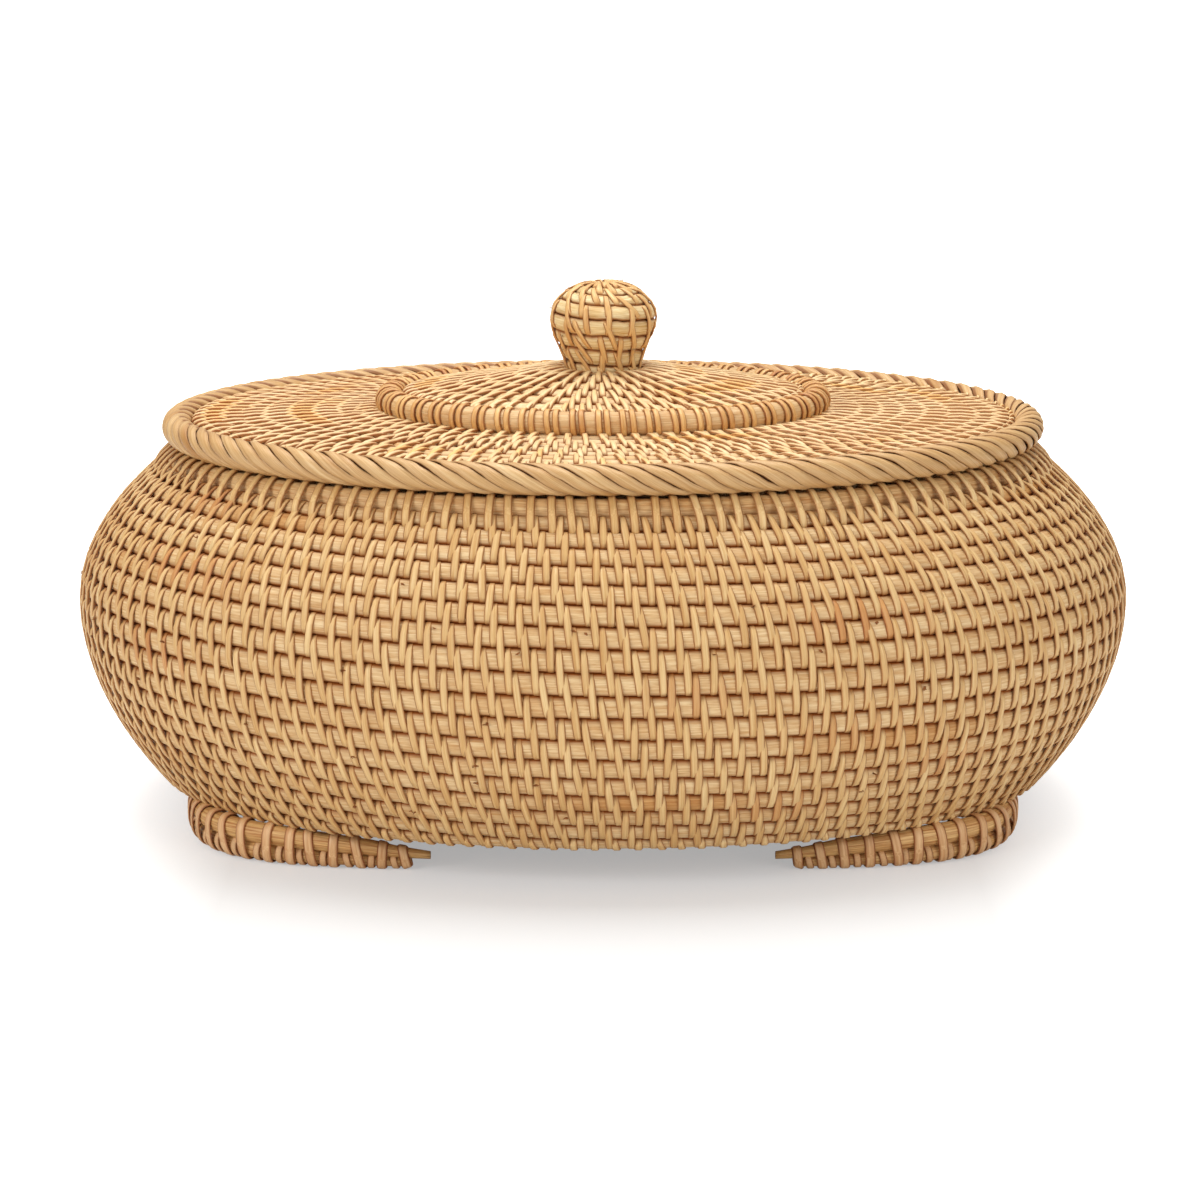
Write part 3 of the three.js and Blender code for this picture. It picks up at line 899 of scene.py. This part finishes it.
OVAL_PLAN = {
    "Plan": oval_curve(1, DEPTH_SHARE), "Plan depth": DEPTH_SHARE,
    "Unit length": oval_length(1, DEPTH_SHARE),
}
BASE_PLAN = {**OVAL_PLAN, "Corner fullness": FOOTLINE_CORNER_FULLNESS}
WALL_PLAN = {**BASE_PLAN, "Plan": oval_curve(1, DEPTH_SHARE, start=math.pi)}
ROUND_PLAN = {"Plan": oval_curve(1, 1), "Plan depth": 1.0, "Unit length": math.tau}
BOX_STRIPS = {"Width": STITCH_WIDTH, "Thickness": STITCH_THICKNESS, "Lean": 0.08}
LID_ROD = {"sides": 10, "Gap share": -0.002, "First turn": LID_END_TURNS, "Material": LID_ROD_CANE}
LID_STRIPS = {
    "steps": 16, "Width": 0.0019, "Thickness": 0.0012, "Dip": 0.0, "Loop power": 0.8, "Material": LID_CANE,
}


# Wall, mouth and base

def quadratic(a, b, c, share):
    return tuple((1 - share) ** 2 * p + 2 * share * (1 - share) * q + share ** 2 * r
                 for p, q, r in zip(a, b, c))


def wall_meridian():
    """Two curves that meet upright at the belly."""
    belly_height = FOOTLINE_HEIGHT + BELLY_RISE
    shoulder_height = belly_height + SHOULDER_RISE
    foot, low_control, belly, high_control, shoulder = (
        (half_length, half_length * DEPTH_SHARE, height) for half_length, height in (
            (FOOTLINE_HALF_LENGTH, FOOTLINE_HEIGHT),
            (BELLY_HALF_LENGTH, (FOOTLINE_HEIGHT + belly_height) / 2),
            (BELLY_HALF_LENGTH, belly_height),
            (BELLY_HALF_LENGTH, (belly_height + shoulder_height) / 2),
            (SHOULDER_HALF_LENGTH, shoulder_height),
        )
    )
    shares = [i / MERIDIAN_POINTS for i in range(MERIDIAN_POINTS + 1)]
    lower = [quadratic(foot, low_control, belly, share) for share in shares]
    upper = [quadratic(belly, high_control, shoulder, share) for share in shares[1:]]
    return lower + upper


def add_wall():
    surface = surface_values(wall_meridian(), WALL_PLAN, WALL_ROWS, 0.008)
    add_coil(
        "wall_rod", ["wall_stitches_low", "wall_stitches_high"], surface,
        {"steps": 120, "sides": 14, "Depth": WALL_ROD_DEPTH, "Gap share": -0.0015, "Squareness": 0.66,
         "Turn length": 0.85},
        {**BOX_STRIPS, "steps": 14, "First count": WALL_STITCHES_A_TURN, "Last count": WALL_STITCHES_A_TURN,
         "Scatter": 0.15, "Dip": 0.0006, "Loop power": 0.62},
        "box", "wall_cane_1", "wall_cane_2", "wall_cane_3", "wall_cane_4",
    )
    add_loose_ends("wall_loose_ends", surface, "box", 80,
                   {"Material": CORE_CANE, "Length": 0.0026, "Radius": 0.00045})


def ring_of(node_name):
    """Half length, half depth, height and radius of a round rod that lies as a level oval."""
    low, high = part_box(node_name)
    radius = (high[2] - low[2]) / 2
    return high[0] - radius, high[1] - radius, (high[2] + low[2]) / 2, radius


def oval_values(ring, out=0, lowered=0, radius=1):
    """What the trees are told about a path along a round rod that lies as a level oval."""
    half_length, half_depth, height, _ = ring
    return {
        "Path": oval_curve(half_length + out, half_depth + out, height - lowered, radius),
        "Path length": oval_length(half_length, half_depth),
    }


def add_mouth():
    """A rod on the wall's last row, and the strips that bind the two together."""
    ring = ring_of("mouth_rod")
    rod = oval_values(ring, MOUTH_SPREAD, MOUTH_LOWERED, ring[3] + MOUTH_ROD_SWELL)
    add_grown("mouth_cane", ROD, (RING_STEPS, 14, True),
              {**rod, "Material": SHADED_CANE, "Unevenness": 0.05}, "box", "cane", "mouth_rod")
    add_grown("mouth_wraps", WRAP, (20, STRIP_SIDES, True), {
        **oval_values(ring, MOUTH_WRAPS_OUT, MOUTH_WRAPS_LOWERED), **BOX_STRIPS, "Material": STRIP_CANE,
        "Count": round(WALL_STITCHES_A_TURN), "Half width": 0.0043, "Half height": 0.0065, "Scatter": 0.15,
        "Loop power": 0.75, "Tilt": math.radians(47.5),
    }, "box", "binding_cane")


def add_base():
    """The bottom's rows run inwards round a straight middle."""
    low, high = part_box("base_panel")
    edge = Vector((high[0] - BASE_EDGE_INSET, high[1] - BASE_EDGE_INSET, high[2]))
    middle = (edge.x - edge.y + BASE_EYE, BASE_EYE, high[2])
    surface = surface_values(straight_meridian(edge, middle), BASE_PLAN, BASE_ROWS, 0.004)
    add_coil(
        "base_rod", ["base_stitches"], surface,
        {"steps": 90, "sides": 8, "Depth": high[2] - low[2], "Gap share": -0.001, "Squareness": 0.6,
         "Turn length": 0.5},
        {**BOX_STRIPS, "steps": 12, "First count": 92.0, "Last count": 26.0, "Scatter": 0.2,
         "Dip": 0.0003, "Loop power": 0.62},
        "box", "base_panel",
    )


def add_bound_oval(node_name, wraps_name, pitch, strips):
    """A rod in the lid that lies as a level oval, and the strips wound round it."""
    ring = ring_of(node_name)
    bed = ring[3] - STRIP_BED
    rod = oval_values(ring, radius=bed)
    add_grown(node_name + "_cane", ROD, (RING_STEPS, 14, True),
              {**rod, "Material": ROD_CANE, "Unevenness": 0.05}, "lid", "cane", node_name)
    add_grown(wraps_name, WRAP, (16, STRIP_SIDES, True), {
        **oval_values(ring), "Count": round(rod["Path length"] / pitch), "Half width": bed,
        "Half height": bed, "Thickness": STITCH_THICKNESS, "Scatter": 0.12, "Loop power": 1.0, **strips,
    }, "lid", "binding_cane")


# Feet

def foot_point(angle, side):
    x = abs(math.cos(angle) / FOOT_HALF_LENGTH) ** FOOT_SQUARENESS
    y = abs(math.sin(angle) / FOOT_HALF_DEPTH) ** FOOT_SQUARENESS
    reach = side * (x + y) ** (-1 / FOOT_SQUARENESS)
    return reach * math.cos(angle), reach * math.sin(angle)


def between_shares(table, share):
    """What a table of shares and values gives between its rows."""
    for (low, value), (high, next_value) in zip(table, table[1:]):
        if share <= high:
            return value + (next_value - value) * (share - low) / (high - low)
    return table[-1][1]


def foot_paths(side):
    """Paths of the lower rod, the upper rod and the binding, clockwise seen from above."""
    parts = {"lower": [], "upper": [], "both": []}
    for i in range(FOOT_POINTS + 1):
        across = 1 - 2 * i / FOOT_POINTS
        from_tip = 1 - abs(across)
        low_radius = (LOWER_ROD_RADIUS + ROD_SPREAD) * between_shares(LOWER_FULLNESS_SHARES, from_tip)
        high_radius = (UPPER_ROD_RADIUS + ROD_SPREAD) * between_shares(UPPER_FULLNESS_SHARES, from_tip)
        underside = STRIP_ALLOWANCE + 2 * low_radius + FOOT_GAP
        top = underside + 2 * high_radius
        covered = max(0, 1 - from_tip / FOOT_BARE_SHARE)
        bottom = STRIP_ALLOWANCE + (underside - STRIP_ALLOWANCE) * covered
        for part, reach_share, height, thickness in (
            ("lower", 0, STRIP_ALLOWANCE + low_radius, low_radius),
            ("upper", UPPER_REACH_SHARE, underside + high_radius, high_radius),
            ("both", WRAPS_REACH_SHARE, (top + bottom) / 2, (top - bottom) / FOOT_STACK),
        ):
            x, y = foot_point((FOOT_HALF_ANGLE + FOOT_REACH_ANGLE * reach_share) * across, side)
            parts[part].append(((x, y, height), thickness))
    return [{"Path": curve_object(places, radii), "Path length": curve_length(places)}
            for places, radii in (zip(*points) for points in parts.values())]


def add_foot(name, side):
    lower, upper, both = foot_paths(side)
    for part, path in (("lower", lower), ("upper", upper)):
        add_grown(f"{name}_{part}_cane", ROD, (140, 12, False),
                  {**path, "Material": FOOT_CANE, "Unevenness": 0.08},
                  "box", "foot_cane", f"{name}_{part}_rod")
    add_grown(name + "_wraps", WRAP, (24, STRIP_SIDES, True), {
        **both, "Material": BINDING_CANE, "Count": FOOT_WRAPS, "Margin": FOOT_WRAP_MARGIN,
        "Half width": UPPER_ROD_RADIUS + ROD_SPREAD, "Half height": FOOT_STACK / 2, "Width": 0.0031,
        "Thickness": 0.0008, "Lean": 0.06, "Scatter": 0.25, "Loop power": 0.8,
    }, "box", "binding_cane", name + "_binding")
    half_pitch = (both["Path length"] - 2 * FOOT_WRAP_MARGIN) / FOOT_WRAPS / 2
    between = FOOT_WRAP_MARGIN + half_pitch - (both["Path length"] - lower["Path length"]) / 2
    add_grown(name + "_short_wraps", WRAP, (16, STRIP_SIDES, True), {
        **lower, "Material": BINDING_CANE, "Count": FOOT_WRAPS - 1, "Margin": between, "Half width": 1.0,
        "Half height": 1.0, "Width": 0.0023, "Thickness": 0.0007, "Lean": 0.04, "Scatter": 0.15,
        "Loop power": 1.0,
    }, "box", "binding_cane")


# Lid

def add_rope():
    ring = ring_of("lid_rope_rim")
    core = oval_values(ring, radius=ring[3] - ROPE_COVER)
    add_grown("rope_core", ROD, (RING_STEPS, 12, True), {**core, "Material": GAP_CANE},
              "lid", "core_wood", "lid_rope_rim")
    add_grown("rope_strips", ROPE, (510, 8, True), {
        **oval_values(ring), "Material": ROPE_CANE, "Strips": ROPE_STRIPS, "Twists": float(ROPE_TWISTS),
        "Radius": ring[3], "Overlap": 1.03, "Thickness": 0.0006, "Edge lift": 0.0004,
    }, "lid", "rope_cane")


def add_field():
    half_length, half_depth, height, radius = ring_of("lid_rope_rim")
    low = height - FIELD_SINK
    touching = math.sqrt((radius + SEAT_CLEARANCE) ** 2 - (FIELD_EDGE_LIFT - FIELD_SINK) ** 2)
    inset = touching - FIELD_EDGE_PRESS
    away = (EDGE_ROD_RADIUS + SEAT_CLEARANCE) * math.cos(EDGE_SEAT_ANGLE)
    meridian = straight_meridian(
        (half_length - inset, half_depth - inset, low + FIELD_EDGE_LIFT),
        (RAISED_HALF_LENGTH + away, RAISED_HALF_DEPTH + away, low + FIELD_RISE),
    )
    under = EDGE_ROD_RADIUS * UNDER_EDGE_SHARE
    meridian.append(tuple(Vector(
        (RAISED_HALF_LENGTH - under, RAISED_HALF_DEPTH - under, low + FIELD_RISE - UNDER_EDGE_DROP),
    )))
    add_coil(
        "field_rod", ["field_stitches"], surface_values(meridian, OVAL_PLAN, FIELD_ROWS + 1, 0.012),
        {**LID_ROD, "steps": 110, "Depth": FIELD_ROD_DEPTH, "Squareness": 0.8, "Turn length": 0.6},
        {**LID_STRIPS, "First count": 112.0, "Last count": 74.0, "Lean": 0.12, "Scatter": 0.15},
        "lid", "lid_field_coil",
    )


def add_raised_oval():
    _, _, height, _ = ring_of("raised_oval_edge_rod")
    inset = (EDGE_ROD_RADIUS + SEAT_CLEARANCE) * math.cos(RAISED_SEAT_ANGLE)
    low = height + (EDGE_ROD_RADIUS + SEAT_CLEARANCE) * math.sin(RAISED_SEAT_ANGLE)
    neck = KNOB_RADIUS * KNOB_OUTLINE_SHARES[0][0] + SEAT_CLEARANCE
    meridian = straight_meridian(
        (RAISED_HALF_LENGTH - inset, RAISED_HALF_DEPTH - inset, low), (neck, neck, low + RAISED_RISE),
    )
    add_coil(
        "raised_rod", ["raised_stitches"], surface_values(meridian, OVAL_PLAN, RAISED_ROWS, 0.012),
        {**LID_ROD, "steps": 90, "Depth": RAISED_ROD_DEPTH, "Squareness": 0.75, "Turn length": 0.3},
        {**LID_STRIPS, "First count": 66.0, "Last count": 24.0, "Lean": 0.15, "Scatter": 0.18},
        "lid", "raised_oval_coil",
    )
    return low + RAISED_RISE


def spline_point(points, share):
    """A place on a smooth line through points that are evenly shared out."""
    last = len(points) - 1
    at = share * last
    i = min(int(at), last - 1)
    t = at - i
    before, here, there, after = (Vector(points[min(max(k, 0), last)]) for k in range(i - 1, i + 3))
    slope, next_slope = (there - before) / 2, (after - here) / 2
    return (here * (2 * t ** 3 - 3 * t ** 2 + 1) + slope * (t ** 3 - 2 * t ** 2 + t)
            + there * (3 * t ** 2 - 2 * t ** 3) + next_slope * (t ** 3 - t ** 2))


def add_knob(neck_height):
    low = neck_height - KNOB_SINK
    outline = [(KNOB_RADIUS * radius, KNOB_RADIUS * radius, low + KNOB_HEIGHT * height)
               for radius, height in KNOB_OUTLINE_SHARES]
    meridian = [tuple(spline_point(outline, i / MERIDIAN_POINTS)) for i in range(MERIDIAN_POINTS + 1)]
    surface = surface_values(meridian, ROUND_PLAN, KNOB_ROWS, 0.03)
    add_coil(
        "knob_bands", ["knob_stitches"], surface,
        {"steps": 48, "sides": 12, "Depth": 0.0036, "Gap share": 0.002, "Squareness": 0.5,
         "Turn length": 0.1, "Material": KNOB_CANE},
        {"steps": 16, "First count": 14.35, "Last count": 11.35, "Width": 0.002, "Thickness": 0.0007,
         "Lean": 0.2, "Scatter": 0.5, "Dip": 0.0001, "Loop power": 0.7, "Material": KNOB_STRIP_CANE},
        "lid", "knob_coil",
    )
    add_loose_ends("knob_loose_ends", surface, "lid", 10,
                   {"Material": KNOB_CANE, "Length": 0.003, "Radius": 0.0003})
    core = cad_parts["knob_core"]
    core.data.materials.clear()
    core.data.materials.append(CORE_CANE)


add_wall()
add_base()
add_mouth()
add_foot("left_foot", -1)
add_foot("right_foot", 1)
add_rope()
add_field()
add_bound_oval("lid_lip_rod", "lip_wraps", 0.009,
               {"Material": STRIP_CANE, "Width": STITCH_WIDTH, "Lean": 0.1})
add_bound_oval("raised_oval_edge_rod", "edge_wraps", 0.00384,
               {"Material": EDGE_CANE, "Width": 0.002, "Rhythm": 0.16, "Lean": 0.12})
add_knob(add_raised_oval())


# Camera, floor and light

def add_camera():
    data = bpy.data.cameras.new("camera")
    data.sensor_width = SENSOR_WIDTH
    data.lens = FOCAL_PIXELS * SENSOR_WIDTH / PICTURE_SIDE
    data.shift_x = (PICTURE_SIDE / 2 - TARGET_PIXEL[0]) / PICTURE_SIDE
    data.shift_y = (TARGET_PIXEL[1] - PICTURE_SIDE / 2) / PICTURE_SIDE
    data.clip_start = 0.05
    data.clip_end = 60
    camera = new_object("camera", data)
    away = Vector((0, -math.cos(CAMERA_ELEVATION), math.sin(CAMERA_ELEVATION)))
    camera.location = Vector((0, 0, TARGET_HEIGHT)) + away * CAMERA_DISTANCE
    camera.rotation_euler = (-away).to_track_quat("-Z", "Y").to_euler()
    bpy.context.scene.camera = camera


def add_floor():
    """A pale floor that the camera sees as white but for the shadow on it, and not at all from below."""
    corners = [(x * FLOOR_REACH, y * FLOOR_REACH, 0) for x, y in ((-1, -1), (1, -1), (1, 1), (-1, 1))]
    mesh = bpy.data.meshes.new("floor")
    mesh.from_pydata(corners, [], [(0, 1, 2, 3)])
    material, tree, shader = new_material("Floor")
    shader.inputs["Roughness"].default_value = 0.9
    seen = output(tree, "ShaderNodeLightPath", name="Is Camera Ray")
    # Painted shade: the camera sees the floor darker than the light that bounces off it does, which deepens
    # the shadow it shows.
    shade = mixed(0.8, 0.5, seen)
    feed(shader.inputs["Base Color"], joined(shade, shade, shade))
    place = output(tree, "ShaderNodeTexCoord", name="Object")
    # Painted light: for the camera the floor glows, more beside the box and far from it, and this whitens
    # the shadow there.
    beside = clamped((abs(parted(place)[0]) - SHADOW_HALF_LENGTH) * 9.0, 0.0, 0.6)
    distance = output(tree, "ShaderNodeVectorMath", {0: place}, "Value", operation="LENGTH")
    far_off = clamped((distance - SHADOW_REACH) * 1.2, 0.0, 0.8)
    strength = seen * (FLOOR_GLOW + beside + far_off)
    glow = output(tree, "ShaderNodeEmission", {"Color": WHITE, "Strength": strength})
    both = output(tree, "ShaderNodeAddShader", {0: Value(shader.outputs[0]), 1: glow})
    clear = output(tree, "ShaderNodeBsdfTransparent")
    from_below = output(tree, "ShaderNodeNewGeometry", name="Backfacing")
    sides = output(tree, "ShaderNodeMixShader", {0: from_below, 1: both, 2: clear})
    feed(tree.nodes["Material Output"].inputs["Surface"], sides)
    mesh.materials.append(material)
    new_object("floor", mesh)


def add_lamp(name, place, aim, width, height, power, colour):
    data = bpy.data.lights.new(name, "AREA")
    data.shape = "RECTANGLE"
    data.size = width
    data.size_y = height
    data.energy = power
    data.color = colour
    lamp = new_object(name, data)
    lamp.location = place
    lamp.rotation_euler = (Vector(aim) - Vector(place)).to_track_quat("-Z", "Y").to_euler()


def add_world():
    world = bpy.data.worlds.new("world")
    bpy.context.scene.world = world
    world.use_nodes = True
    tree = world.node_tree
    back = tree.nodes["Background"]
    back.inputs["Color"].default_value = WHITE
    seen = output(tree, "ShaderNodeLightPath", name="Is Camera Ray")
    feed(back.inputs["Strength"], mixed(0.42, 1.0, seen))


add_camera()
add_floor()
add_lamp("overhead", (0.0, 0.25, 1.3), (0, 0, 0.05), 1.2, 0.9, 17.0, (1.0, 0.99, 0.97))
add_lamp("front_left", (-1.3, -1.1, 0.9), (0, 0, 0.06), 0.8, 0.8, 13.5, (1.0, 0.99, 0.98))
add_lamp("front_right", (1.0, -1.2, 0.6), (0, 0, 0.06), 0.8, 0.8, 6.3, (1.0, 0.99, 0.98))
add_world()
bpy.context.scene.view_settings.view_transform = "Standard"

for guide in GUIDES:
    bpy.data.objects.remove(guide)
